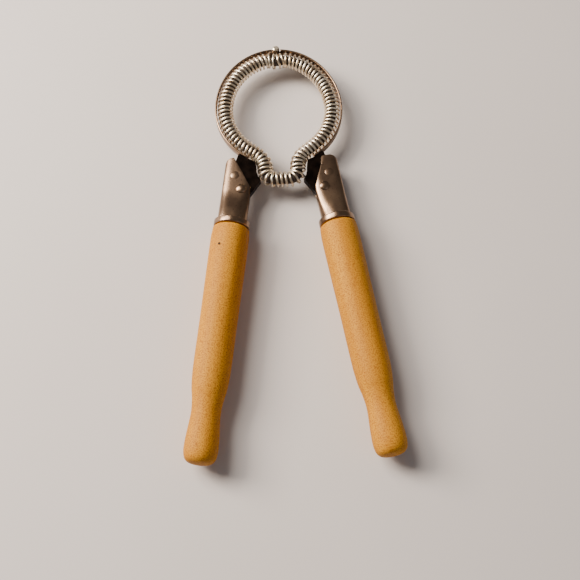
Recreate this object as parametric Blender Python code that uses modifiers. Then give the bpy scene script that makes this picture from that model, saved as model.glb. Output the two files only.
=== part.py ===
# Nutcracker with a sprung ring head and two turned wooden handles.
# It lies flat: +Y runs to the crown of the ring, the handles run to -Y, and Z is the axis of the ring and its hinge.
import math

import bmesh
import bpy
from mathutils import Matrix, Vector
from mathutils.geometry import interpolate_bezier

# Ring head
RING_Y = 0.0577             # the ring's widest line, with the part's box centred on the origin
BAND_OUTER_R = 0.0265       # half its width, and the radius of its lower half
CROWN_STRETCH = 1.11        # its upper half is drawn out towards the crown by this
BAND_THICK = 0.0008
BAND_DEPTH = 0.0034
BAND_END = math.radians(31)   # where a band ends, from straight down
GAP = 0.0003

# Crown hinge
HINGE_UP = 0.0293           # from the ring's widest line to the hinge axis
PIN_R = 0.0007
PIN_HEAD_R = 0.0013
PIN_HEAD_H = 0.0005
BORE_R = 0.0010
KNUCKLE_R = 0.0015
KNUCKLE_HALF = 0.0006       # half the length of the middle knuckle

# Coil spring that lines the loop
COIL_R = 0.0032
WIRE_R = 0.00047
COIL_TURNS = 88
POINTS_A_TURN = 7
LOOP_R = 0.0222
LOOP_STRETCH = 1.127        # keeps the coil the same gap inside the band all the way to the crown
LOOP_DIMPLE = 0.0008        # the loop dips in at the crown, clear of the knuckles
LOOP_DIMPLE_HALF = 0.18     # radians either side of the crown
LOOP_LEAVES = math.radians(37)
NECK_Y = -0.0323            # the loop's lowest line, from the ring's widest line
NECK_HALF = 0.0066
NECK_CORNER = 0.0036
CORE_R = 0.0019

# Levers: u runs up the handle's axis from the collar, v runs outwards across it
SPLAY = math.radians(8.6)
LEVER_X = 0.0207            # the handle's axis at the top of the collar
LEVER_DROP = 0.0506         # from the ring's widest line down to the top of the collar
MID_Z = 0.00755             # the handles' largest radius, so they rest on Z = 0

SHANK_HALF = 0.0058
SHANK_TOP = 0.0273
SHANK_CORNER = 0.0035       # radius of its outer top corner
SHANK_EAR = 0.0142          # height at which its inner edge turns into the sloping top
SHANK_TIP_V = 0.0026        # where the steeper slope of the cheek at -Z ends; the other cheek is a wider tongue
SHANK_SLOT = 0.0090         # above here the shank is open on its inner side
SHANK_FOOT = -0.003         # its blank starts below the collar's top and is cut off a gap above it
SHANK_FOOT_HALF_Z = 0.0050
SHANK_FLAT_HALF_Z = 0.0030
SHANK_EASE = (0.0006, 0.0114)   # heights between which it thins from the foot to the flat
SHEET = 0.0012
SHANK_ROUND = 0.0019
WEB_HALF_Z = 0.0015
WEB_ARC = math.radians(9)   # how far past the band's end the web follows the band
WEB_BACK = [(0.0026, 0.0235), (0.0036, 0.0205), (0.0036, 0.0105)]   # its edge inside the shank, as v and u
WEB_FOOT_V = -0.0042

COLLAR_R = 0.0072
COLLAR_H = 0.0026
COLLAR_BORE = 0.0038
TANG_HALF_V = 0.0026
TANG_HALF_Z = 0.0013
TANG_UP = 0.0075
TANG_DOWN = 0.034
RIVET_R = 0.0011
RIVET_HOLE_R = 0.0014
RIVET_HEAD_R = {"upper": 0.0018, "lower": 0.0022}
RIVET_PLACES = {"upper": (0.0012, 0.0195), "lower": (-0.0020, 0.0138)}   # v and u
RIVET_RISE = {"upper": 0.0002, "lower": 0.0009}
HANDLE_TOP = -0.0029
HANDLE_LENGTH = 0.0938
HANDLE_PIN_R = 0.0005
HANDLE_PIN_AT = -0.0125
HANDLE_PIN_TILT = math.radians(25)
HANDLE_PIN_ENDS = (-0.0042, 0.0077)   # past the tang, and just proud of the wood
SEGMENTS = 32
FAR = 0.02                  # cutters run this far past what they cut


def clear_scene():
    for item in list(bpy.data.objects):
        bpy.data.objects.remove(item, do_unlink=True)


def new_collection(name):
    collection = bpy.data.collections.new(name)
    bpy.context.scene.collection.children.link(collection)
    return collection


clear_scene()
PARTS = new_collection("nutcracker")
CUTTERS = new_collection("cutters")


def material(name, colour, metallic, roughness):
    made = bpy.data.materials.new(name)
    made.use_nodes = True
    shader = made.node_tree.nodes["Principled BSDF"]
    shader.inputs["Base Color"].default_value = (*colour, 1.0)
    shader.inputs["Metallic"].default_value = metallic
    shader.inputs["Roughness"].default_value = roughness
    return made


WOOD = (0.62, 0.32, 0.10)
BRONZE = (0.13, 0.09, 0.06)
STEEL = (0.62, 0.58, 0.54)
DARK = (0.03, 0.028, 0.026)


def add(name, mesh, colour, metallic, roughness):
    """Adds a finished mesh as a part, shaded smooth but for its sharp edges."""
    mesh.name = name
    part = bpy.data.objects.new(name, mesh)
    PARTS.objects.link(part)
    mesh.materials.clear()
    mesh.materials.append(material(name, colour, metallic, roughness))
    mesh.shade_smooth()
    mesh.set_sharp_from_angle(angle=math.radians(35))
    return part


def temporary(mesh):
    item = bpy.data.objects.new("cutter", mesh)
    item.hide_render = True
    item.display_type = 'WIRE'
    CUTTERS.objects.link(item)
    return item


def combine(mesh, steps):
    """Applies Booleans to a mesh in turn; each step is an operation and the mesh it uses."""
    body = temporary(mesh)
    for operation, other in steps:
        cut = body.modifiers.new(operation, 'BOOLEAN')
        cut.operation = operation
        cut.object = temporary(other)
    return baked(body)


def baked(item):
    bpy.context.view_layer.update()
    graph = bpy.context.evaluated_depsgraph_get()
    mesh = bpy.data.meshes.new_from_object(item.evaluated_get(graph))
    mesh.transform(item.matrix_world)
    bpy.data.objects.remove(item, do_unlink=True)
    return mesh


def finish_mesh(shape):
    bmesh.ops.remove_doubles(shape, verts=shape.verts, dist=1e-6)
    bmesh.ops.recalc_face_normals(shape, faces=shape.faces)
    mesh = bpy.data.meshes.new("mesh")
    shape.to_mesh(mesh)
    shape.free()
    return mesh


def cylinder(radius, low, high, matrix=Matrix.Identity(4), segments=SEGMENTS):
    """A cylinder on the local Z axis from low to high."""
    shape = bmesh.new()
    place = matrix @ Matrix.Translation((0, 0, (low + high) / 2))
    bmesh.ops.create_cone(shape, cap_ends=True, segments=segments, radius1=radius, radius2=radius,
                          depth=high - low, matrix=place)
    return finish_mesh(shape)


def box(low, high):
    shape = bmesh.new()
    size = [b - a for a, b in zip(low, high)]
    centre = [(a + b) / 2 for a, b in zip(low, high)]
    place = Matrix.Translation(centre) @ Matrix.Diagonal((*size, 1))
    bmesh.ops.create_cube(shape, size=1, matrix=place)
    return finish_mesh(shape)


def prism(outline, low, high, matrix=Matrix.Identity(4)):
    """An outline in the local XY plane, extruded from low to high along Z."""
    curve = bpy.data.curves.new("outline", 'CURVE')
    curve.dimensions = '2D'
    curve.fill_mode = 'BOTH'
    curve.extrude = (high - low) / 2
    line = curve.splines.new('POLY')
    line.points.add(len(outline) - 1)
    for point, (x, y) in zip(line.points, outline):
        point.co = (x, y, 0, 1)
    line.use_cyclic_u = True
    item = bpy.data.objects.new("outline", curve)
    CUTTERS.objects.link(item)
    item.matrix_world = matrix @ Matrix.Translation((0, 0, (low + high) / 2))
    shape = bmesh.new()
    flat = baked(item)
    shape.from_mesh(flat)
    return finish_mesh(shape)


def turned(profile, matrix=Matrix.Identity(4), segments=SEGMENTS):
    """A solid turned about the local Y axis; the profile is (radius, y) from one end to the other."""
    shape = bmesh.new()
    points = [shape.verts.new((radius, y, 0)) for radius, y in profile]
    edges = [shape.edges.new(pair) for pair in zip(points, points[1:])]
    bmesh.ops.spin(shape, geom=points + edges, cent=(0, 0, 0), axis=(0, 1, 0), angle=math.tau,
                   steps=segments, use_duplicate=False)
    bmesh.ops.remove_doubles(shape, verts=shape.verts, dist=1e-6)
    mesh = finish_mesh(shape)
    mesh.transform(matrix)
    return mesh


def tube(points, radius, resolution, cyclic):
    """A round wire along points."""
    curve = bpy.data.curves.new("wire", 'CURVE')
    curve.dimensions = '3D'
    curve.bevel_depth = radius
    curve.bevel_resolution = resolution
    curve.use_fill_caps = not cyclic
    curve.twist_mode = 'MINIMUM'
    line = curve.splines.new('POLY')
    line.points.add(len(points) - 1)
    for point, place in zip(line.points, points):
        point.co = (*place, 1)
    line.use_cyclic_u = cyclic
    item = bpy.data.objects.new("wire", curve)
    CUTTERS.objects.link(item)
    shape = bmesh.new()
    shape.from_mesh(baked(item))
    return finish_mesh(shape)


def lever_frame(side):
    """Local X out across the lever, local Y up its axis, origin at the top of the collar."""
    turn = Matrix.Rotation(side * SPLAY, 4, 'Z')
    flip = Matrix.Rotation(math.pi, 4, 'Y') if side < 0 else Matrix.Identity(4)
    return Matrix.Translation((side * LEVER_X, RING_Y - LEVER_DROP, MID_Z)) @ turn @ flip


def on_ring(radius, turn, stretch=CROWN_STRETCH):
    """A point of the ring, turned from the crown, about the middle of its widest line."""
    height = radius * math.cos(turn)
    return Vector((radius * math.sin(turn), height * stretch if height > 0 else height, 0))


def loop_half():
    """Right half of the loop's centre line, from the crown to the middle of the neck."""
    points = []
    arc = math.pi - LOOP_LEAVES
    steps = 40
    for i in range(steps + 1):
        turn = arc * i / steps
        dip = LOOP_DIMPLE * max(0.0, math.cos(min(turn / LOOP_DIMPLE_HALF, 1) * math.pi / 2)) ** 2
        points.append(on_ring(LOOP_R - dip, turn, LOOP_STRETCH))
    leave = points[-1]
    heading = Vector((math.cos(arc), -math.sin(arc), 0))
    waist = Vector((NECK_HALF, NECK_Y + NECK_CORNER, 0))
    points += interpolate_bezier(leave, leave + 0.007 * heading, waist + Vector((0, 0.006, 0)), waist, 14)[1:]
    centre = waist - Vector((NECK_CORNER, 0, 0))
    for i in range(1, 7):
        turn = math.pi / 2 * i / 6
        points.append(centre + NECK_CORNER * Vector((math.cos(turn), -math.sin(turn), 0)))
    points.append(Vector((0, NECK_Y, 0)))
    return points


def loop():
    """The whole centre line as a closed list of points, clockwise from the crown."""
    right = loop_half()
    left = [Vector((-p.x, p.y, 0)) for p in reversed(right[1:-1])]
    return right + left


def at_length(points, lengths, distance):
    """Place and direction at a distance along a closed list of points."""
    low = 0
    high = len(points)
    while high - low > 1:
        middle = (low + high) // 2
        if lengths[middle] <= distance:
            low = middle
        else:
            high = middle
    a = points[low]
    b = points[(low + 1) % len(points)]
    share = (distance - lengths[low]) / (b - a).length
    return a.lerp(b, share), (b - a).normalized()


def loop_samples(count):
    points = loop()
    lengths = [0.0]
    for a, b in zip(points, points[1:] + points[:1]):
        lengths.append(lengths[-1] + (b - a).length)
    return [at_length(points, lengths, lengths[-1] * i / count) for i in range(count)]


def build_spring():
    count = COIL_TURNS * POINTS_A_TURN
    centre = Vector((0, RING_Y, MID_Z))
    wire = []
    for i, (place, along) in enumerate(loop_samples(count)):
        turn = math.tau * i / POINTS_A_TURN
        out = Vector((-along.y, along.x, 0))
        wire.append(centre + place + (COIL_R - WIRE_R) * (math.cos(turn) * out + math.sin(turn) * Vector((0, 0, 1))))
    add("grip_spring", tube(wire, WIRE_R, 0, True), STEEL, 1.0, 0.3)
    core = [centre + place for place, along in loop_samples(96)]
    add("spring_core", tube(core, CORE_R, 2, True), DARK, 0.0, 0.6)


def band_outline(side):
    """Sheet band from the hinge axis round to its end."""
    outer = []
    inner = []
    sweep = math.pi - BAND_END
    steps = 36
    for i in range(steps + 1):
        turn = sweep * i / steps
        far = on_ring(BAND_OUTER_R, turn)
        near = on_ring(BAND_OUTER_R - BAND_THICK, turn)
        outer.append((side * far.x, far.y))
        inner.append((side * near.x, near.y))
    return outer + inner[::-1]


def build_jaw(name, side):
    ring = Matrix.Translation((0, RING_Y, MID_Z))
    hinge = ring @ Matrix.Translation((0, HINGE_UP, 0))
    half = BAND_DEPTH / 2
    band = prism(band_outline(side), -half, half, ring)
    knuckle = cylinder(KNUCKLE_R, -half, half, hinge)
    steps = [('UNION', knuckle), ('DIFFERENCE', cylinder(BORE_R, -2 * half, 2 * half, hinge))]
    clear = KNUCKLE_R + GAP
    if side < 0:
        edge = KNUCKLE_HALF + GAP
        steps.append(('DIFFERENCE', cylinder(clear, -edge, edge, hinge)))
    else:
        steps.append(('DIFFERENCE', cylinder(clear, KNUCKLE_HALF, 2 * half, hinge)))
        steps.append(('DIFFERENCE', cylinder(clear, -2 * half, -KNUCKLE_HALF, hinge)))
    add(name, combine(band, steps), BRONZE, 1.0, 0.4)


def build_hinge_pin():
    half = BAND_DEPTH / 2 + GAP
    profile = [(0, -half - PIN_HEAD_H), (PIN_HEAD_R * 0.7, -half - PIN_HEAD_H), (PIN_HEAD_R, -half - PIN_HEAD_H / 2),
               (PIN_HEAD_R, -half), (PIN_R, -half)]
    profile += [(radius, -y) for radius, y in reversed(profile)]
    upright = Matrix.Translation((0, RING_Y + HINGE_UP, MID_Z)) @ Matrix.Rotation(math.pi / 2, 4, 'X')
    add("hinge_pin", turned(profile, upright, 20), STEEL, 1.0, 0.35)


def web_outline():
    """Plate between the shank's cheeks that reaches to the band and the coil's neck, in the lever's frame."""
    to_lever = lever_frame(1).inverted() @ Matrix.Translation((0, RING_Y, MID_Z))
    outline = []
    reach = BAND_OUTER_R + GAP
    for share in (0.1, 0.55, 1.0):
        turn = BAND_END + share * WEB_ARC
        outline.append(Vector((reach * math.sin(turn), -reach * math.cos(turn), 0)))
    outline = [to_lever @ point for point in outline]
    inside = WEB_BACK + [(WEB_FOOT_V, SHANK_SLOT + GAP)]
    outline += [Vector((v, u, 0)) for v, u in inside]
    reach = COIL_R + GAP + 0.0001
    neck = []
    half = loop_half()
    for a, b in zip(half, half[1:]):
        along = (b - a).normalized()
        out = Vector((-along.y, along.x, 0))
        place = (a + b) / 2 + reach * out
        if NECK_Y - 0.0012 < place.y < -0.0238 and place.x > 0.0075:
            neck.append(to_lever @ place)
    outline += reversed(neck)
    return [(point.x, point.y) for point in outline]


def build_web(name, side):
    frame = lever_frame(side)
    plate = prism(web_outline(), -WEB_HALF_Z, WEB_HALF_Z, frame)
    steps = []
    for v, u in RIVET_PLACES.values():
        place = frame @ Matrix.Translation((v, u, 0))
        steps.append(('DIFFERENCE', cylinder(RIVET_HOLE_R, -FAR, FAR, place, 20)))
    add(name, combine(plate, steps), DARK, 1.0, 0.5)


def shank_outline():
    """Front of the shank, with a sloping top that runs down to the slot."""
    outer = [(-SHANK_HALF, SHANK_FOOT), (SHANK_HALF, SHANK_FOOT)]
    v = SHANK_HALF - SHANK_CORNER
    u = SHANK_TOP - SHANK_CORNER
    for i in range(6):
        turn = math.pi / 2 * i / 5
        outer.append((v + SHANK_CORNER * math.cos(turn), u + SHANK_CORNER * math.sin(turn)))
    outer += [(0.0002, SHANK_TOP), (-0.0012, SHANK_TOP - 0.0009), (-SHANK_HALF, SHANK_EAR)]
    return outer


def slope_cutter():
    """Takes the cheek at -Z back to a straight slope from the ear to the tip."""
    ear = Vector((-SHANK_HALF, SHANK_EAR))
    tip = Vector((SHANK_TIP_V, SHANK_TOP))
    past = (tip - ear) / 5
    return prism([ear - past, tip + past, (-FAR, 2 * FAR)], -FAR, -WEB_HALF_Z - GAP / 2)


def side_outline(foot, flat, low, high):
    """Side of the shank as (z, u): deep at the foot, flattened above."""
    right = [(foot, low), (foot, SHANK_EASE[0]), (flat, SHANK_EASE[1]), (flat, high)]
    return right + [(-z, u) for z, u in reversed(right)]


def build_shank(name, side):
    frame = lever_frame(side)
    sideways = Matrix.Rotation(math.pi / 2, 4, 'Y')
    front = prism(shank_outline(), -FAR, FAR)
    profile = side_outline(SHANK_FOOT_HALF_Z, SHANK_FLAT_HALF_Z, SHANK_FOOT, 2 * FAR)
    form = temporary(combine(front, [('INTERSECT', prism(profile, -FAR, FAR, sideways))]))
    weld = form.modifiers.new("weld", 'WELD')
    weld.merge_threshold = 0.00001
    soft = form.modifiers.new("round", 'BEVEL')
    soft.width = SHANK_ROUND
    soft.segments = 4
    soft.limit_method = 'ANGLE'
    soft.angle_limit = math.radians(50)
    solid = baked(form)
    inner = side_outline(SHANK_FOOT_HALF_Z - SHEET, WEB_HALF_Z + GAP, -FAR, 2 * FAR)
    wall = SHANK_HALF - SHEET
    steps = [('DIFFERENCE', prism(inner, -wall, wall, sideways)),
             ('DIFFERENCE', box((-FAR, SHANK_SLOT, -WEB_HALF_Z - GAP), (0, 2 * FAR, WEB_HALF_Z + GAP))),
             ('DIFFERENCE', box((-FAR, -FAR, -FAR), (FAR, GAP, FAR))),
             ('DIFFERENCE', slope_cutter())]
    for v, u in RIVET_PLACES.values():
        steps.append(('DIFFERENCE', cylinder(RIVET_HOLE_R, -FAR, FAR, Matrix.Translation((v, u, 0)), 20)))
    mesh = combine(solid, steps)
    mesh.transform(frame)
    add(name, mesh, BRONZE, 1.0, 0.4)


def build_rivets(side_name, side):
    for place_name, (v, u) in RIVET_PLACES.items():
        half = SHANK_FLAT_HALF_Z + GAP
        rise = RIVET_RISE[place_name]
        head = RIVET_HEAD_R[place_name]
        crown = [(head * math.sin(turn), -half - rise * math.cos(turn))
                 for turn in [math.pi / 2 * i / 4 for i in range(5)]]
        profile = crown + [(RIVET_R, -half)]
        profile += [(radius, -y) for radius, y in reversed(profile)]
        place = lever_frame(side) @ Matrix.Translation((v, u, 0)) @ Matrix.Rotation(math.pi / 2, 4, 'X')
        add(f"{side_name}_{place_name}_rivet", turned(profile, place, 20), BRONZE, 1.0, 0.3)


def build_collar(name, side):
    half = COLLAR_H / 2
    edge = 0.0006
    profile = [(COLLAR_BORE, -half), (COLLAR_R - edge, -half), (COLLAR_R, -half + edge), (COLLAR_R, half - edge),
               (COLLAR_R - edge, half), (COLLAR_BORE, half), (COLLAR_BORE, -half)]
    place = lever_frame(side) @ Matrix.Translation((0, -half, 0))
    add(name, turned(profile, place), BRONZE, 1.0, 0.4)


def build_tang(name, side):
    bar = box((-TANG_HALF_V, -TANG_DOWN, -TANG_HALF_Z), (TANG_HALF_V, TANG_UP, TANG_HALF_Z))
    mesh = combine(bar, [('DIFFERENCE', cylinder(HANDLE_PIN_R + GAP, -FAR, FAR, pin_frame(), 16))])
    mesh.transform(lever_frame(side))
    add(name, mesh, STEEL, 1.0, 0.5)


def handle_profile():
    """Radius against distance below the handle's top: a straight grip, a waist and a bulb end."""
    shares = [(0.0, 6.6), (0.008, 7.3), (0.05, 7.55), (0.2, 7.45), (0.4, 7.25), (0.56, 7.2), (0.64, 7.1), (0.70, 6.6),
              (0.735, 6.0), (0.77, 5.6), (0.80, 5.5), (0.84, 5.75), (0.88, 6.1), (0.925, 6.35), (0.955, 6.25),
              (0.98, 5.5), (0.993, 3.9)]
    profile = [(radius / 1000, HANDLE_TOP - share * HANDLE_LENGTH) for share, radius in shares]
    return [(0, HANDLE_TOP)] + profile + [(0, HANDLE_TOP - HANDLE_LENGTH)]


def pin_frame():
    """The handle pin's axis, out through the wood at -Z, tilted about the handle's axis."""
    return Matrix.Translation((0, HANDLE_PIN_AT, 0)) @ Matrix.Rotation(math.pi - HANDLE_PIN_TILT, 4, 'Y')


def build_handle(name, side):
    solid = turned(handle_profile()[::-1], segments=40)
    slot = box((-TANG_HALF_V - GAP, -TANG_DOWN - GAP, -TANG_HALF_Z - GAP),
               (TANG_HALF_V + GAP, FAR, TANG_HALF_Z + GAP))
    low, high = HANDLE_PIN_ENDS
    bore = cylinder(HANDLE_PIN_R + GAP, low - GAP, FAR, pin_frame(), 16)
    mesh = combine(solid, [('DIFFERENCE', slot), ('DIFFERENCE', bore)])
    mesh.transform(lever_frame(side))
    add(name, mesh, WOOD, 0.0, 0.5)
    pin = cylinder(HANDLE_PIN_R, low, high, pin_frame(), 16)
    pin.transform(lever_frame(side))
    add(f"{name}_pin", pin, DARK, 1.0, 0.5)


build_spring()
build_hinge_pin()
for side_name, side in (("left", -1), ("right", 1)):
    build_jaw(f"{side_name}_jaw", side)
    build_web(f"{side_name}_web", side)
    build_shank(f"{side_name}_shank", side)
    build_rivets(side_name, side)
    build_collar(f"{side_name}_collar", side)
    build_tang(f"{side_name}_tang", side)
    build_handle(f"{side_name}_handle", side)
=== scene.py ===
import math

import bmesh
import bpy
from mathutils import Matrix, Vector
from mathutils.geometry import interpolate_bezier


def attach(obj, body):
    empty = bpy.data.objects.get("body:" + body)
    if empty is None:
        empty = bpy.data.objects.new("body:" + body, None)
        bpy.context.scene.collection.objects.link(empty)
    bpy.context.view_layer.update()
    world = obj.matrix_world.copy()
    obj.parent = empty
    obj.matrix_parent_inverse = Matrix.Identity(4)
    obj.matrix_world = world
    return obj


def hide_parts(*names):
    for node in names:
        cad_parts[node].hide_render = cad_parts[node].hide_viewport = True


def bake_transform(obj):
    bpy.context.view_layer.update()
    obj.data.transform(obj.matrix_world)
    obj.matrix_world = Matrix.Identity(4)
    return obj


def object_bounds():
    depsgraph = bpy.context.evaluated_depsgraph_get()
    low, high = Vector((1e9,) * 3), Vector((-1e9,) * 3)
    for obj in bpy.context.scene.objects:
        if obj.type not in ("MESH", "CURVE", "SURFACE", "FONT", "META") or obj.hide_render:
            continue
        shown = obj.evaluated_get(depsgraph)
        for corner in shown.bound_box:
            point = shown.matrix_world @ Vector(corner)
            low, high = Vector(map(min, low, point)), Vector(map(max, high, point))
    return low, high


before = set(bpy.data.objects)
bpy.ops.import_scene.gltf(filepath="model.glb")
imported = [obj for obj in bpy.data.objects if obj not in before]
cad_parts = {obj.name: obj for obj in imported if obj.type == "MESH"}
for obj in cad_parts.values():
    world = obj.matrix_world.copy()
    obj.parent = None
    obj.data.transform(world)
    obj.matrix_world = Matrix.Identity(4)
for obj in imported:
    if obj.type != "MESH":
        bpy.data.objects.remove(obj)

cad_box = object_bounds()

# The bench.
# A pale matt tabletop that the nutcracker lies on, seen from just above the handles. Two soft boxes to the left of
# the crown, a weak fill to the right and a dim room let the shadows fall to the right.
TABLE_HALF = 3.0
TABLE_GAP = 0.0002


def linear(hex_colour):
    """An sRGB hex colour as linear red, green, blue and alpha."""
    parts = [int(hex_colour[i:i + 2], 16) / 255 for i in (0, 2, 4)]
    return [part / 12.92 if part <= 0.04045 else ((part + 0.055) / 1.055) ** 2.4 for part in parts] + [1.0]


def node(tree, kind, links=None, **settings):
    """Adds a node; a setting names a socket or a property, and a link maps a socket to another node's output."""
    made = tree.nodes.new(kind)
    for key, value in settings.items():
        if hasattr(made, key):
            setattr(made, key, value)
        else:
            made.inputs[key.replace("_", " ")].default_value = value
    for key, output in (links or {}).items():
        tree.links.new(output, made.inputs[key])
    return made


def new_material(name, **sockets):
    """A Principled material with constant values on the shader's own sockets."""
    made = bpy.data.materials.new(name)
    made.use_nodes = True
    shader = made.node_tree.nodes["Principled BSDF"]
    for key, value in sockets.items():
        shader.inputs[key.replace("_", " ")].default_value = value
    return made, made.node_tree, shader


def add_piece(name, mesh, material, matrix=None, smooth=40):
    """Adds a mesh as a piece, smooth but for edges sharper than the given angle."""
    piece = bpy.data.objects.new(name, mesh)
    bpy.context.scene.collection.objects.link(piece)
    if matrix is not None:
        piece.matrix_world = matrix
    mesh.materials.clear()
    mesh.materials.append(material)
    mesh.shade_smooth()
    mesh.set_sharp_from_angle(angle=math.radians(smooth))
    return piece


table_paint, tree, shader = new_material("matt_table_paint", Roughness=0.75)
# The rolled paint drifts in tone over about 11 cm.
object_place = node(tree, "ShaderNodeTexCoord").outputs["Object"]
mottle = node(tree, "ShaderNodeTexNoise", {"Vector": object_place}, Scale=9.0, Detail=3.0)
tones = node(tree, "ShaderNodeMix", {"Factor": mottle.outputs["Fac"]}, data_type='RGBA')
tones.inputs["A"].default_value = linear("CDC4C0")
tones.inputs["B"].default_value = linear("D6CECA")
tree.links.new(tones.outputs["Result"], shader.inputs["Base Color"])
table_mesh = bpy.data.meshes.new("table")
corners = [(x * TABLE_HALF, y * TABLE_HALF, 0) for x, y in ((-1, -1), (1, -1), (1, 1), (-1, 1))]
table_mesh.from_pydata(corners, [], [(0, 1, 2, 3)])
table = add_piece("table", table_mesh, table_paint)
table.location.z = cad_box[0][2] - TABLE_GAP

room = bpy.data.worlds.new("room")
room.use_nodes = True
room.node_tree.nodes["Background"].inputs["Color"].default_value = linear("D8D4D2")
room.node_tree.nodes["Background"].inputs["Strength"].default_value = 0.22
bpy.context.scene.world = room


def soft_box(name, place, target, width, height, watts, colour):
    """A rectangular lamp turned towards its target."""
    lamp = bpy.data.lights.new(name, 'AREA')
    lamp.shape = 'RECTANGLE'
    lamp.size = width
    lamp.size_y = height
    lamp.energy = watts
    lamp.color = linear(colour)[:3]
    item = bpy.data.objects.new(name, lamp)
    bpy.context.scene.collection.objects.link(item)
    item.location = place
    item.rotation_euler = (Vector(target) - Vector(place)).to_track_quat('-Z', 'Y').to_euler()


soft_box("key_light", (-0.66, 0.26, 0.46), (0, 0, 0), 0.34, 0.34, 15.0, "FFF4E6")
soft_box("fill_light", (0.6, -0.5, 0.7), (0, 0, 0), 0.7, 0.7, 0.8, "EEF2FF")
soft_box("crown_light", (-0.46, 0.40, 0.74), (0, 0.05, 0), 0.40, 0.42, 9.0, "FFF8EE")

camera_data = bpy.data.cameras.new("camera")
camera_data.lens = 55.9
camera_data.sensor_width = 36.0
camera = bpy.data.objects.new("camera", camera_data)
bpy.context.scene.collection.objects.link(camera)
camera.location = (-0.0092, -0.1453, 0.3329)
camera.rotation_euler = [math.radians(angle) for angle in (20.72, -0.73, -2.75)]
bpy.context.scene.camera = camera

# Levers.
# Both levers are the same pressing, one turned over, so every piece of a lever is placed in its lever's own frame:
# X runs out across the lever, Y up its axis towards the crown, and the origin is at the top of the collar.
SPLAY = math.radians(8.6)
MID_Z = (cad_box[0][2] + cad_box[1][2]) / 2
RING_Y = 0.0577
LEVER_X = 0.0207
LEVER_DROP = 0.0506
SIDES = {"left": -1, "right": 1}


def lever_frame(side):
    """A lever's own frame; the left lever (side -1) is turned over."""
    turn = Matrix.Rotation(side * SPLAY, 4, 'Z')
    over = Matrix.Rotation(math.pi, 4, 'Y') if side < 0 else Matrix.Identity(4)
    return Matrix.Translation((side * LEVER_X, RING_Y - LEVER_DROP, MID_Z)) @ turn @ over


def turned(name, profile, segments=96):
    """A solid turned about local Y from (radius, y) points that run from one end to the other."""
    shape = bmesh.new()
    points = [shape.verts.new((radius, y, 0)) for radius, y in profile]
    edges = [shape.edges.new(pair) for pair in zip(points, points[1:])]
    bmesh.ops.spin(shape, geom=points + edges, cent=(0, 0, 0), axis=(0, 1, 0), angle=math.tau,
                   steps=segments, use_duplicate=False)
    bmesh.ops.remove_doubles(shape, verts=shape.verts, dist=1e-7)
    bmesh.ops.recalc_face_normals(shape, faces=shape.faces)
    mesh = bpy.data.meshes.new(name)
    shape.to_mesh(mesh)
    shape.free()
    return mesh


def smooth_line(points, steps):
    """A smooth line through points, each stretch leaving and arriving along its neighbours' chord."""
    line = []
    for i in range(len(points) - 1):
        before = points[max(i - 1, 0)]
        here = points[i]
        there = points[i + 1]
        after = points[min(i + 2, len(points) - 1)]
        leave = here + (there - before) * (there - here).length / ((there - before).length or 1) / 3
        arrive = there - (after - here) * (there - here).length / ((after - here).length or 1) / 3
        line += interpolate_bezier(here, leave, arrive, there, steps + 1)[:-1]
    return line + [points[-1]]


# Handles.
# Turned beech grips, sanded and stained with a honey oil, with a waist above the bulb end; the oil leaves them nearly
# matt and gathers in the short pores of the wood, which show as fine darker specks.
beech, tree, shader = new_material("oiled_beech", Specular_IOR_Level=0.15)
grain_place = node(tree, "ShaderNodeTexCoord").outputs["Object"]
# Pores are 0.1 mm wide and cut across by the turning; they are drawn 0.35 mm wide so that they show.
along = node(tree, "ShaderNodeMapping", {"Vector": grain_place}, Scale=(1.0, 0.75, 1.0))
pores = node(tree, "ShaderNodeTexNoise", {"Vector": along.outputs["Vector"]}, Scale=2800.0, Detail=2.0)
flecks = node(tree, "ShaderNodeValToRGB", {"Fac": pores.outputs["Fac"]})
flecks.color_ramp.elements[0].position = 0.34
flecks.color_ramp.elements[0].color = (0, 0, 0, 1)
flecks.color_ramp.elements[1].position = 0.55
flecks.color_ramp.elements[1].color = (1, 1, 1, 1)
# Growth rings are about 2.5 mm apart and pass nearly along the handle; they are drawn twice as wide.
lengthwise = node(tree, "ShaderNodeMapping", {"Vector": grain_place}, Scale=(1.0, 0.06, 1.0))
warp = node(tree, "ShaderNodeTexNoise", {"Vector": lengthwise.outputs["Vector"]}, Scale=210.0, Detail=4.0)
rings = node(tree, "ShaderNodeValToRGB", {"Fac": warp.outputs["Fac"]})
rings.color_ramp.elements[0].position = 0.35
rings.color_ramp.elements[0].color = linear("B87A1A")
rings.color_ramp.elements[1].position = 0.66
rings.color_ramp.elements[1].color = linear("CC8E22")
wood_colour = node(tree, "ShaderNodeMix", {"Factor": flecks.outputs["Color"], "B": rings.outputs["Color"]},
                   data_type='RGBA')
wood_colour.inputs["A"].default_value = linear("945A12")
tree.links.new(wood_colour.outputs["Result"], shader.inputs["Base Color"])
sheen = node(tree, "ShaderNodeMapRange", {"Value": warp.outputs["Fac"]}, To_Min=0.52, To_Max=0.68)
tree.links.new(sheen.outputs["Result"], shader.inputs["Roughness"])
# The lathe's tool leaves marks 0.5 mm apart, sanded almost flat; they are drawn 1 mm apart so that they show.
marks = node(tree, "ShaderNodeTexWave", {"Vector": grain_place}, bands_direction='Y', Scale=320.0, Distortion=1.0)
raised = node(tree, "ShaderNodeMath", {0: marks.outputs["Fac"], 1: pores.outputs["Fac"]}, operation='ADD')
bump = node(tree, "ShaderNodeBump", {"Height": raised.outputs["Value"]}, Strength=0.12, Distance=0.0002)
tree.links.new(bump.outputs["Normal"], shader.inputs["Normal"])

HANDLE_TOP = -0.0029
HANDLE_LENGTH = 0.0938
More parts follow.
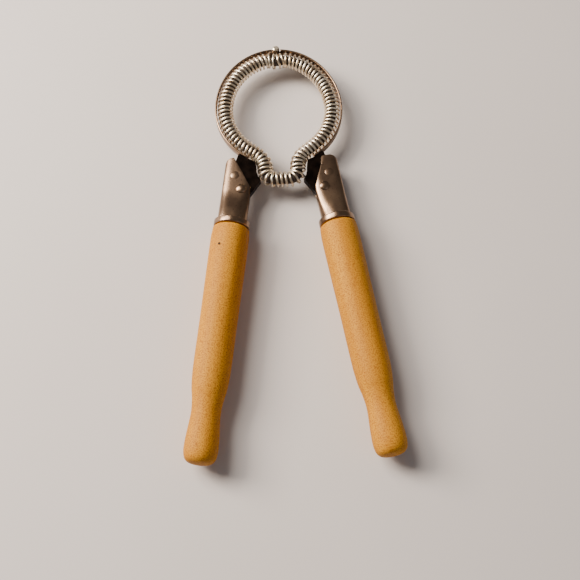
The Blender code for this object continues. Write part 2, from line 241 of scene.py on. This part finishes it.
# Shares of the length from the collar down, with radii in millimetres.
HANDLE_SHAPE = [(0.0, 6.6), (0.006, 7.25), (0.05, 7.54), (0.2, 7.45), (0.4, 7.25), (0.56, 7.2), (0.64, 7.08),
                (0.70, 6.6), (0.735, 6.0), (0.77, 5.6), (0.80, 5.5), (0.84, 5.75), (0.88, 6.1), (0.925, 6.34),
                (0.955, 6.22), (0.98, 5.45), (0.993, 3.8), (1.0, 0.0)]
for side_name, side in SIDES.items():
    outline = [Vector((radius / 1000, HANDLE_TOP - share * HANDLE_LENGTH, 0)) for share, radius in HANDLE_SHAPE]
    line = [Vector((0, HANDLE_TOP, 0))] + outline[:1] + smooth_line(outline[1:], 6)
    mesh = turned(f"{side_name}_grip", [(point.x, point.y) for point in reversed(line)])
    grip = add_piece(f"{side_name}_grip", mesh, beech, lever_frame(side), 50)
    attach(grip, f"{side_name}_lever")
    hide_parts(f"{side_name}_handle")

# Shanks, collars and rivets.
# Pressed from 1.2 mm steel sheet, rolled into a socket at the foot and flattened above into two cheeks that are
# riveted to the web, then polished and plated in dark bronze, which has a satin gloss.
bronze, tree, shader = new_material("dark_bronze_plate", Metallic=1.0)
metal_place = node(tree, "ShaderNodeTexCoord").outputs["Object"]
# Plating thickness drifts over 5 to 10 mm, which shifts the brown.
clouds = node(tree, "ShaderNodeTexNoise", {"Vector": metal_place}, Scale=160.0, Detail=4.0)
plate_colour = node(tree, "ShaderNodeValToRGB", {"Fac": clouds.outputs["Fac"]})
plate_colour.color_ramp.elements[0].position = 0.35
plate_colour.color_ramp.elements[0].color = linear("78614F")
plate_colour.color_ramp.elements[1].position = 0.68
plate_colour.color_ramp.elements[1].color = linear("967B63")
tree.links.new(plate_colour.outputs["Color"], shader.inputs["Base Color"])
# Polishing scratches are finer than can show, so they are drawn 0.3 mm apart.
drawn = node(tree, "ShaderNodeMapping", {"Vector": metal_place}, Scale=(1.0, 0.2, 1.0))
scratches = node(tree, "ShaderNodeTexNoise", {"Vector": drawn.outputs["Vector"]}, Scale=3300.0, Detail=2.0)
gloss = node(tree, "ShaderNodeMapRange", {"Value": scratches.outputs["Fac"]}, To_Min=0.25, To_Max=0.33)
tree.links.new(gloss.outputs["Result"], shader.inputs["Roughness"])
bump = node(tree, "ShaderNodeBump", {"Height": scratches.outputs["Fac"]}, Strength=0.01, Distance=0.0001)
tree.links.new(bump.outputs["Normal"], shader.inputs["Normal"])

SHANK_HALF = 0.0058
SHANK_TOP = 0.0273
SHANK_FOOT = 0.0003
SHEET = 0.0012
FOOT_HALF_Z = 0.0050
FLAT_HALF_Z = 0.0030
CORNER = 0.0034
# Stretches of height over which the socket flattens, squares up and opens into its two cheeks.
FLATTENS = (-0.0020, 0.0130)
SQUARES = (0.0020, 0.0145)
OPENS = (0.0080, 0.0125)
# Each section is a superellipse, whose power sets how square it is.
ROUND_POWER = 2.2
SQUARE_POWER = 4.2
# The free edges: how far the steep one crosses by the top, the tongue's slope, and how far round a cheek may be cut.
STEEP_FOOT = 0.0145
STEEP_REACH = 0.0083
TONGUE_FOOT = 0.0142
TONGUE_REACH = 0.0046
TONGUE_RISE = 0.0110
EDGE_LIMITS = (-0.985, 0.6)
TONGUE_CORNER = 0.0016
TONGUE_CORNER_V = 0.0004


def ease(low, high, value):
    """Goes smoothly from 0 at low to 1 at high."""
    share = min(max((value - low) / (high - low), 0.0), 1.0)
    return share * share * (3 - 2 * share)


def half_depth(height):
    """Half the shank's depth at a height."""
    return FOOT_HALF_Z + (FLAT_HALF_Z - FOOT_HALF_Z) * ease(*FLATTENS, height)


def free_edge(height, side):
    """Where a cheek ends across the lever: a steep slope on the cheek at -Z, a wider tongue on the other."""
    if side < 0:
        return -SHANK_HALF + STEEP_REACH * max(height - STEEP_FOOT, 0) / (SHANK_TOP - STEEP_FOOT)
    return -SHANK_HALF + TONGUE_REACH * max(height - TONGUE_FOOT, 0) / TONGUE_RISE


def shank_section(height, share):
    """A point of the rolled sheet at a height, from one free edge (share -1) round the outside to the other (1)."""
    edge = min(free_edge(height, share) / SHANK_HALF, EDGE_LIMITS[1])
    power = ROUND_POWER + (SQUARE_POWER - ROUND_POWER) * ease(*SQUARES, height)
    opened = math.acos(math.copysign(abs(max(edge, EDGE_LIMITS[0])) ** (power / 2), edge))
    reach = math.pi + (opened - math.pi) * ease(*OPENS, height)
    turn = reach * share
    if math.cos(turn) > 0:
        power = SQUARE_POWER
    across = math.copysign(abs(math.cos(turn)) ** (2 / power), math.cos(turn))
    deep = math.copysign(abs(math.sin(turn)) ** (2 / power), math.sin(turn))
    v = SHANK_HALF * across
    top = SHANK_TOP
    past = v - (SHANK_HALF - CORNER)
    if past > 0:
        top -= CORNER - math.sqrt(max(CORNER ** 2 - past ** 2, 0))
    past = min(TONGUE_CORNER_V - v, TONGUE_CORNER)
    if share > 0 and past > 0:
        top -= TONGUE_CORNER - math.sqrt(TONGUE_CORNER ** 2 - past ** 2)
    u = SHANK_FOOT + (height - SHANK_FOOT) * (top - SHANK_FOOT) / (SHANK_TOP - SHANK_FOOT)
    return (v, u, half_depth(height) * deep)


def shank_mesh(name):
    """The shank's outer skin, from the foot up."""
    rows = 60
    columns = 72
    shape = bmesh.new()
    heights = [SHANK_FOOT + (SHANK_TOP - SHANK_FOOT) * i / rows for i in range(rows + 1)]
    grid = [[shape.verts.new(shank_section(height, 2 * k / columns - 1)) for k in range(columns + 1)]
            for height in heights]
    for lower, upper in zip(grid, grid[1:]):
        for k in range(columns):
            shape.faces.new((lower[k], lower[k + 1], upper[k + 1], upper[k]))
    bmesh.ops.remove_doubles(shape, verts=shape.verts, dist=1e-6)
    bmesh.ops.recalc_face_normals(shape, faces=shape.faces)
    mesh = bpy.data.meshes.new(name)
    shape.to_mesh(mesh)
    shape.free()
    return mesh


COLLAR_R = 0.0072
COLLAR_BORE = 0.0038
COLLAR_HALF = 0.0013
COLLAR_ROUND = 0.0005
# Each rivet's place across and up the lever, its head's radius and how far the head stands out.
RIVETS = (("upper", 0.0012, 0.0195, 0.0018, 0.0003), ("lower", -0.0020, 0.0138, 0.0021, 0.0009))
RIVET_STEM_R = 0.0011
RIVET_SINK = 0.0001
QUARTER = math.pi / 2

for side_name, side in SIDES.items():
    shank = add_piece(f"{side_name}_socket", shank_mesh(f"{side_name}_socket"), bronze, lever_frame(side), 60)
    wall = shank.modifiers.new("sheet", 'SOLIDIFY')
    wall.thickness = SHEET
    wall.offset = -1
    wall.thickness_clamp = 1.0
    rim = shank.modifiers.new("rim", 'BEVEL')
    rim.width = 0.00025
    rim.segments = 3
    rim.limit_method = 'ANGLE'
    rim.angle_limit = math.radians(55)
    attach(shank, f"{side_name}_lever")
    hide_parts(f"{side_name}_shank")

    round_edge = [(COLLAR_R - COLLAR_ROUND + COLLAR_ROUND * math.cos(turn),
                   COLLAR_HALF - COLLAR_ROUND + COLLAR_ROUND * math.sin(turn))
                  for turn in [QUARTER * i / 5 for i in range(6)]]
    profile = [(COLLAR_BORE, -COLLAR_HALF)] + [(radius, -y) for radius, y in reversed(round_edge)] + round_edge
    profile += [(COLLAR_BORE, COLLAR_HALF), (COLLAR_BORE, -COLLAR_HALF)]
    collar = add_piece(f"{side_name}_ferrule", turned(f"{side_name}_ferrule", profile), bronze,
                       lever_frame(side) @ Matrix.Translation((0, -COLLAR_HALF, 0)))
    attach(collar, f"{side_name}_lever")
    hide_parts(f"{side_name}_collar")

    for place_name, v, u, head, rise in RIVETS:
        half = half_depth(u) - RIVET_SINK
        dome = [(head * math.sin(turn), -half - rise * math.cos(turn))
                for turn in [QUARTER * i / 10 for i in range(11)]]
        profile = dome + [(RIVET_STEM_R, -half)]
        profile += [(radius, -y) for radius, y in reversed(profile)]
        place = lever_frame(side) @ Matrix.Translation((v, u, 0)) @ Matrix.Rotation(QUARTER, 4, 'X')
        name = f"{side_name}_{place_name}_rivet"
        rivet = add_piece(f"{name}_turned", turned(name, profile, 40), bronze, place)
        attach(rivet, f"{side_name}_lever")
        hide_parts(name)

# Jaw bands.
# Two bent strips of the same plated sheet back the spring round the ring and meet in knuckles at the crown; their
# rims are rolled smooth, which gives a bright line along the front edge.
BAND_OUTER_R = 0.0265
BAND_THICK = 0.0008
BAND_HALF = 0.0017
CROWN_STRETCH = 1.11
BAND_EDGE = 0.0003
BAND_START = math.radians(4.1)
BAND_SWEEP = math.radians(149)
HINGE_UP = 0.0293
KNUCKLE_R = 0.0015
KNUCKLE_BORE = 0.0009
KNUCKLE_SOFT = 0.0001
# The left band has the two outer knuckles and the right band the middle one, as stretches of depth.
KNUCKLES = {"left": [(-0.0017, -0.0009), (0.0009, 0.0017)], "right": [(-0.0006, 0.0006)]}
# A leaf carries a knuckle to its band; its outline runs out along the crown and back.
LEAF_OUTLINE = [(0, KNUCKLE_R * 0.15), (0.0030, -0.0008), (0.0030, -0.0022), (0, -KNUCKLE_R)]
LEAF_EDGE = 0.0001
RING = Matrix.Translation((0, RING_Y, MID_Z))


def on_ring(radius, turn, stretch=CROWN_STRETCH):
    """A point of the ring, turned from the crown, about the middle of its widest line."""
    height = radius * math.cos(turn)
    return Vector((radius * math.sin(turn), height * stretch if height > 0 else height, 0))


def plate(name, outline, half, edge):
    """A flat plate with rounded rims, cut to an outline in the XY plane."""
    curve = bpy.data.curves.new(name, 'CURVE')
    curve.dimensions = '2D'
    curve.fill_mode = 'BOTH'
    curve.extrude = half - edge
    curve.bevel_depth = edge
    curve.bevel_resolution = 2
    curve.offset = -edge
    line = curve.splines.new('POLY')
    line.points.add(len(outline) - 1)
    for point, (x, y) in zip(line.points, outline):
        point.co = (x, y, 0, 1)
    line.use_cyclic_u = True
    item = bpy.data.objects.new(name, curve)
    bpy.context.scene.collection.objects.link(item)
    bpy.context.view_layer.update()
    graph = bpy.context.evaluated_depsgraph_get()
    mesh = bpy.data.meshes.new_from_object(item.evaluated_get(graph))
    bpy.data.objects.remove(item)
    shape = bmesh.new()
    shape.from_mesh(mesh)
    bmesh.ops.remove_doubles(shape, verts=shape.verts, dist=1e-7)
    bmesh.ops.recalc_face_normals(shape, faces=shape.faces)
    shape.to_mesh(mesh)
    shape.free()
    return mesh


def barrel(name, radius, bore, low, high):
    """A short tube on the local Z axis with slightly rounded ends."""
    soft = KNUCKLE_SOFT
    profile = [(bore, low), (radius - soft, low), (radius, low + soft), (radius, high - soft), (radius - soft, high),
               (bore, high), (bore, low)]
    mesh = turned(name, profile, 40)
    mesh.transform(Matrix.Rotation(QUARTER, 4, 'X'))
    return mesh


for side_name, side in SIDES.items():
    steps = 90
    turns = [BAND_START + (BAND_SWEEP - BAND_START) * i / steps for i in range(steps + 1)]
    outer = [on_ring(BAND_OUTER_R, turn) for turn in turns]
    inner = [on_ring(BAND_OUTER_R - BAND_THICK, turn) for turn in reversed(turns)]
    outline = [(side * point.x, point.y) for point in outer + inner]
    mesh = plate(f"{side_name}_band", outline, BAND_HALF, BAND_EDGE)
    band = add_piece(f"{side_name}_band", mesh, bronze, RING)
    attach(band, f"{side_name}_lever")
    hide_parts(f"{side_name}_jaw")
    place = RING @ Matrix.Translation((0, HINGE_UP, 0))
    leaf_outline = [(side * x, y) for x, y in LEAF_OUTLINE]
    for number, (low, high) in enumerate(KNUCKLES[side_name]):
        name = f"{side_name}_knuckle_{number}"
        knuckle = add_piece(name, barrel(name, KNUCKLE_R, KNUCKLE_BORE, low, high), bronze, place)
        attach(knuckle, f"{side_name}_lever")
        leaf = add_piece(f"{name}_leaf", plate(f"{name}_leaf", leaf_outline, (high - low) / 2, LEAF_EDGE), bronze,
                         place @ Matrix.Translation((0, 0, (low + high) / 2)))
        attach(leaf, f"{side_name}_lever")

# Webs, tangs and pins.
# The webs that tie the bands to the shanks, the tangs and the handle pins are dull steel drawn near black and a
# little brown; the near black is painted shade for the recess between a shank's cheeks, and the tone drifts in
# patches about 3 mm across.
shade_blackened, tree, shader = new_material("painted_shade_steel", Metallic=1.0)
black_place = node(tree, "ShaderNodeTexCoord").outputs["Object"]
patches = node(tree, "ShaderNodeTexNoise", {"Vector": black_place}, Scale=300.0, Detail=5.0)
# Painted shade: the steel is kept near black so that the web stands in for the shade between a shank's cheeks.
shade_black_colour = node(tree, "ShaderNodeValToRGB", {"Fac": patches.outputs["Fac"]})
shade_black_colour.color_ramp.elements[0].position = 0.35
shade_black_colour.color_ramp.elements[0].color = linear("100C0A")
shade_black_colour.color_ramp.elements[1].position = 0.7
shade_black_colour.color_ramp.elements[1].color = linear("1E1612")
tree.links.new(shade_black_colour.outputs["Color"], shader.inputs["Base Color"])
dullness = node(tree, "ShaderNodeMapRange", {"Value": patches.outputs["Fac"]}, To_Min=0.3, To_Max=0.5)
tree.links.new(dullness.outputs["Result"], shader.inputs["Roughness"])
for side_name in SIDES:
    for part in ("web", "tang", "handle_pin"):
        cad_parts[f"{side_name}_{part}"].material_slots[0].material = shade_blackened

# Grip spring.
# A coil of bright nickel-plated steel wire that lines the whole loop, wound with about one wire's width between its
# turns so that they bite the shell; it flexes where the loop crosses between the levers. The plate dulls over 5 mm.
nickel, tree, shader = new_material("nickel_plated_wire", Metallic=1.0)
wire_place = node(tree, "ShaderNodeTexCoord").outputs["Object"]
stain = node(tree, "ShaderNodeTexNoise", {"Vector": wire_place}, Scale=220.0, Detail=4.0)
wire_colour = node(tree, "ShaderNodeValToRGB", {"Fac": stain.outputs["Fac"]})
wire_colour.color_ramp.elements[0].position = 0.35
wire_colour.color_ramp.elements[0].color = linear("DCC6A8")
wire_colour.color_ramp.elements[1].position = 0.65
wire_colour.color_ramp.elements[1].color = linear("FBF0DC")
tree.links.new(wire_colour.outputs["Color"], shader.inputs["Base Color"])
wear = node(tree, "ShaderNodeMapRange", {"Value": stain.outputs["Fac"]}, To_Min=0.24, To_Max=0.40)
tree.links.new(wear.outputs["Result"], shader.inputs["Roughness"])

COIL_R = 0.0033
WIRE_R = 0.00047
COIL_TURNS = 88
LOOP_R = 0.0222
LOOP_STRETCH = 1.127
NECK_Y = -0.0323
NECK_HALF = 0.0066
NECK_CORNER = 0.0036
# Where the loop leaves the ring, from straight down, and how far it keeps its heading there and at the waist.
LEAVE_ANGLE = math.radians(37)
LEAVE_PULL = 0.007
WAIST_PULL = 0.006
# The coil dips below the hinge pin at the crown.
DIMPLE = 0.0008
DIMPLE_ANGLE = 0.18


def loop_half():
    """Right half of the loop's centre line, from the crown to the middle of the neck."""
    points = []
    arc = math.pi - LEAVE_ANGLE
    for i in range(81):
        turn = arc * i / 80
        dip = DIMPLE * math.cos(min(turn / DIMPLE_ANGLE, 1) * QUARTER) ** 2
        points.append(on_ring(LOOP_R - dip, turn, LOOP_STRETCH))
    leave = points[-1]
    heading = Vector((math.cos(arc), -math.sin(arc), 0))
    waist = Vector((NECK_HALF, NECK_Y + NECK_CORNER, 0))
    bend = (leave, leave + LEAVE_PULL * heading, waist + Vector((0, WAIST_PULL, 0)), waist)
    points += interpolate_bezier(*bend, 24)[1:]
    centre = waist - Vector((NECK_CORNER, 0, 0))
    for i in range(1, 13):
        turn = QUARTER * i / 12
        points.append(centre + NECK_CORNER * Vector((math.cos(turn), -math.sin(turn), 0)))
    points.append(Vector((0, NECK_Y, 0)))
    return points


def loop_samples(count):
    """Evenly spaced places and directions round the whole loop, clockwise from the crown."""
    right = loop_half()
    points = right + [Vector((-p.x, p.y, 0)) for p in reversed(right[1:-1])]
    points.append(points[0])
    lengths = [0.0]
    for a, b in zip(points, points[1:]):
        lengths.append(lengths[-1] + (b - a).length)
    samples = []
    low = 0
    for i in range(count):
        distance = lengths[-1] * i / count
        while lengths[low + 1] <= distance:
            low += 1
        a = points[low]
        b = points[low + 1]
        samples.append((a.lerp(b, (distance - lengths[low]) / (b - a).length), (b - a).normalized()))
    return samples


def closed_tube(name, centre_line, radius, sides):
    """A closed tube round a flat or coiled centre line, with rings carried along it without twist."""
    shape = bmesh.new()
    count = len(centre_line)
    rings = []
    normal = Vector((0, 0, 1))
    for i, place in enumerate(centre_line):
        along = (centre_line[(i + 1) % count] - centre_line[i - 1]).normalized()
        normal = (normal - along * normal.dot(along)).normalized()
        other = along.cross(normal)
        rings.append([shape.verts.new(place + radius * (math.cos(math.tau * k / sides) * normal
                                                        + math.sin(math.tau * k / sides) * other))
                      for k in range(sides)])
    first = rings[0]
    last = rings[-1]
    shift = min(range(sides), key=lambda s: (last[0].co - first[s].co).length)
    for ring, following in zip(rings, rings[1:]):
        for k in range(sides):
            shape.faces.new((ring[k], ring[(k + 1) % sides], following[(k + 1) % sides], following[k]))
    for k in range(sides):
        shape.faces.new((last[k], last[(k + 1) % sides], first[(k + 1 + shift) % sides], first[(k + shift) % sides]))
    bmesh.ops.recalc_face_normals(shape, faces=shape.faces)
    mesh = bpy.data.meshes.new(name)
    shape.to_mesh(mesh)
    shape.free()
    return mesh


STEPS_A_TURN = 22
ring_centre = Vector((0, RING_Y, MID_Z))
wire = []
for i, (place, along) in enumerate(loop_samples(COIL_TURNS * STEPS_A_TURN)):
    turn = math.tau * i / STEPS_A_TURN
    out = Vector((-along.y, along.x, 0))
    wire.append(ring_centre + place + (COIL_R - WIRE_R) * (math.cos(turn) * out + math.sin(turn) * Vector((0, 0, 1))))
coil = add_piece("coiled_wire", closed_tube("coiled_wire", wire, WIRE_R, 8), nickel, None, 180)
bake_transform(coil)
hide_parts("grip_spring")

# Spring core.
# A flexible black rubber cord inside the coil that holds the loop's shape, seen only between the turns. Its black
# is also painted shade for the hollow inside the coil, and its tone goes browner in patches about 2 mm across.
CORE_R = 0.0019
cord_rubber, tree, shader = new_material("black_cord_rubber", Roughness=0.7)
cord_place = node(tree, "ShaderNodeTexCoord").outputs["Object"]
cord_patches = node(tree, "ShaderNodeTexNoise", {"Vector": cord_place}, Scale=500.0, Detail=3.0)
# Painted shade: the cord's dark colour between the turns also stands in for the shade inside the hollow coil.
cord_shade_colour = node(tree, "ShaderNodeValToRGB", {"Fac": cord_patches.outputs["Fac"]})
cord_shade_colour.color_ramp.elements[0].color = linear("2A201A")
cord_shade_colour.color_ramp.elements[1].color = linear("46382E")
tree.links.new(cord_shade_colour.outputs["Color"], shader.inputs["Base Color"])
core_line = [ring_centre + place for place, along in loop_samples(240)]
core = add_piece("core_cord", closed_tube("core_cord", core_line, CORE_R, 14), cord_rubber, None, 180)
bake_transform(core)
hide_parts("spring_core")

# Hinge pin.
# A headed steel pin through the knuckles at the crown, in the same nickel plate as the spring.
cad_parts["hinge_pin"].material_slots[0].material = nickel
